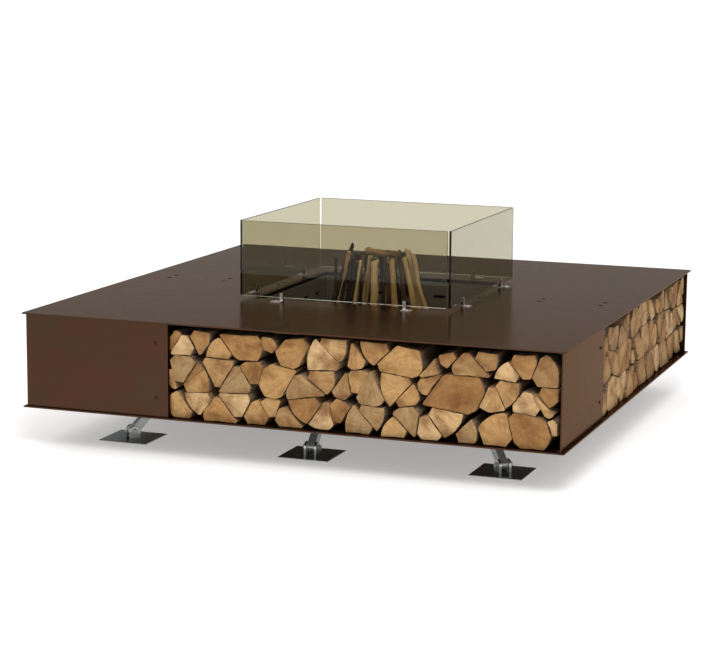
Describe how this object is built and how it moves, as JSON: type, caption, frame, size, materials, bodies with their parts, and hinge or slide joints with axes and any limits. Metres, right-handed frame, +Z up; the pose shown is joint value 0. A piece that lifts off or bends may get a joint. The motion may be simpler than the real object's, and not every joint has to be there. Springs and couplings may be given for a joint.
{
  "type": "fire pit with grate",
  "caption": "Low square steel fire table with a lift-out fire tub and grate inside a glass wind screen, open firewood bays on its sides and tilting feet.",
  "frame": {"origin": "on the floor, at the centre of the square table", "axes": "+X to the right along the front side, +Y to the back, +Z up"},
  "size_m": [2, 2, 0.788],
  "materials": {
    "weathered_steel": "satin weathering-steel brown, faintly mottled",
    "tub_steel": "dull heat-darkened mild steel",
    "dark_screws": "browned countersunk screw heads",
    "foot_steel": "smooth dark steel with bright cut edges",
    "galvanised_steel": "dull grey zinc with a faint spangle",
    "stainless": "finely brushed stainless steel",
    "silicone": "matt black silicone",
    "tinted_glass": "bronze-tinted toughened glass with polished edges",
    "firewood": "split hardwood ends with rings, cracks and some bark",
    "branches": "rough round branches, some of them charred"
  },
  "bodies": {
    "table": {"bay_wall_back": "weathered_steel", "bay_wall_front": "weathered_steel", "bay_wall_left": "weathered_steel", "bay_wall_right": "weathered_steel", "bottom_plate": "weathered_steel", "clip_screws": "stainless", "fascia_back": "weathered_steel", "fascia_front": "weathered_steel", "fascia_left": "weathered_steel", "fascia_right": "weathered_steel", "fascia_screws": "weathered_steel", "glass_clips": "stainless", "glass_pads": "silicone", "leg_screws": "galvanised_steel", "legs": "galvanised_steel", "log_pile_back": "firewood", "log_pile_front": "firewood", "log_pile_left": "firewood", "log_pile_right": "firewood", "pivot_bolts": "galvanised_steel", "pivot_nuts": "galvanised_steel", "stiffener_back": "weathered_steel", "stiffener_front": "weathered_steel", "stiffener_left": "weathered_steel", "stiffener_right": "weathered_steel", "top_plate": "weathered_steel", "top_plate_screws": "dark_screws", "wall_foot_screws": "galvanised_steel"},
    "foot_front_left": {"foot_plate_front_left": "foot_steel"},
    "foot_front": {"foot_plate_front": "foot_steel"},
    "foot_front_right": {"foot_plate_front_right": "foot_steel"},
    "foot_right": {"foot_plate_right": "foot_steel"},
    "foot_back_right": {"foot_plate_back_right": "foot_steel"},
    "foot_back": {"foot_plate_back": "foot_steel"},
    "foot_back_left": {"foot_plate_back_left": "foot_steel"},
    "foot_left": {"foot_plate_left": "foot_steel"},
    "pane_front": {"glass_pane_front": "tinted_glass"},
    "pane_right": {"glass_pane_right": "tinted_glass"},
    "pane_back": {"glass_pane_back": "tinted_glass"},
    "pane_left": {"glass_pane_left": "tinted_glass"},
    "tub": {"fire_tub": "tub_steel", "ash_pan": "tub_steel"},
    "grate": {"fire_grate": "tub_steel", "kindling": "branches"}
  },
  "joints": [
    {"name": "foot_tilt_front_left", "type": "hinge", "parent": "table", "child": "foot_front_left", "pos_m": [-0.708, -0.708, 0.028], "axis": [0.7071, -0.7071, 0], "range_deg": [-20, 20]},
    {"name": "foot_tilt_front", "type": "hinge", "parent": "table", "child": "foot_front", "pos_m": [0, -0.708, 0.028], "axis": [1, 0, 0], "range_deg": [-20, 20]},
    {"name": "foot_tilt_front_right", "type": "hinge", "parent": "table", "child": "foot_front_right", "pos_m": [0.708, -0.708, 0.028], "axis": [0.7071, 0.7071, 0], "range_deg": [-20, 20]},
    {"name": "foot_tilt_right", "type": "hinge", "parent": "table", "child": "foot_right", "pos_m": [0.708, 0, 0.028], "axis": [0, 1, 0], "range_deg": [-20, 20]},
    {"name": "foot_tilt_back_right", "type": "hinge", "parent": "table", "child": "foot_back_right", "pos_m": [0.708, 0.708, 0.028], "axis": [-0.7071, 0.7071, 0], "range_deg": [-20, 20]},
    {"name": "foot_tilt_back", "type": "hinge", "parent": "table", "child": "foot_back", "pos_m": [0, 0.708, 0.028], "axis": [-1, 0, 0], "range_deg": [-20, 20]},
    {"name": "foot_tilt_back_left", "type": "hinge", "parent": "table", "child": "foot_back_left", "pos_m": [-0.708, 0.708, 0.028], "axis": [-0.7071, -0.7071, 0], "range_deg": [-20, 20]},
    {"name": "foot_tilt_left", "type": "hinge", "parent": "table", "child": "foot_left", "pos_m": [-0.708, 0, 0.028], "axis": [0, -1, 0], "range_deg": [-20, 20]},
    {"name": "pane_lift_front", "type": "slide", "parent": "table", "child": "pane_front", "axis": [0, 0, 1], "range_m": [0, 0.3]},
    {"name": "pane_lift_right", "type": "slide", "parent": "table", "child": "pane_right", "axis": [0, 0, 1], "range_m": [0, 0.3]},
    {"name": "pane_lift_back", "type": "slide", "parent": "table", "child": "pane_back", "axis": [0, 0, 1], "range_m": [0, 0.3]},
    {"name": "pane_lift_left", "type": "slide", "parent": "table", "child": "pane_left", "axis": [0, 0, 1], "range_m": [0, 0.3]},
    {"name": "tub_lift", "type": "slide", "parent": "table", "child": "tub", "axis": [0, 0, 1], "range_m": [0, 0.35]},
    {"name": "grate_lift", "type": "slide", "parent": "tub", "child": "grate", "axis": [0, 0, 1], "range_m": [0, 0.25]}
  ]
}
